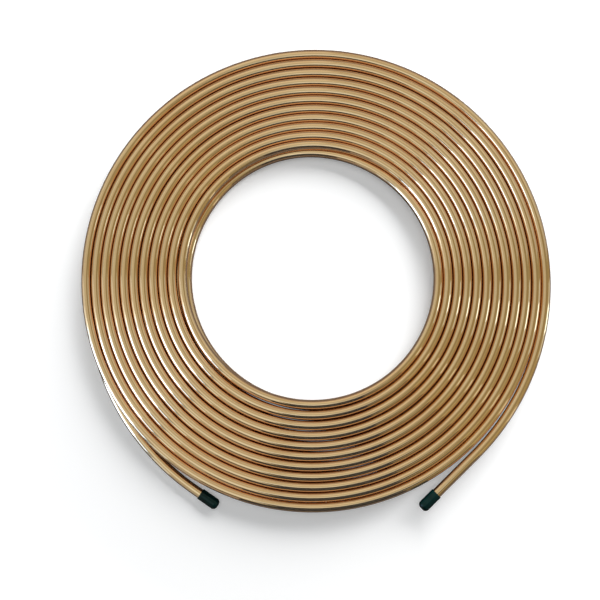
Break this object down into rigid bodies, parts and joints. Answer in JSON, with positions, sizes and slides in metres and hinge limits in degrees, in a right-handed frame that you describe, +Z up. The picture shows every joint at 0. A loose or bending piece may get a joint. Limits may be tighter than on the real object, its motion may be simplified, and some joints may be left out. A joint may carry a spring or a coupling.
{
  "type": "copper tube coil",
  "caption": "Flat two-layer coil of soft copper tube with an open middle, both ends leaving at the outside and closed with dark plastic caps.",
  "frame": {"origin": "on the axis of the winding, at the level of the floor that the coil lies on", "axes": "+Z up along the axis of the winding; seen from above, -Y is the side at which both tails end and +X is to its right"},
  "size_m": [0.4793, 0.4767, 0.0201],
  "materials": {
    "copper": "bright drawn copper with a satin golden sheen",
    "cap_plastic": "glossy dip-moulded plastic, very dark green"
  },
  "bodies": {
    "root": {"copper_tube": "copper", "end_cap_upper": "cap_plastic", "end_cap_lower": "cap_plastic"}
  },
  "joints": []
}
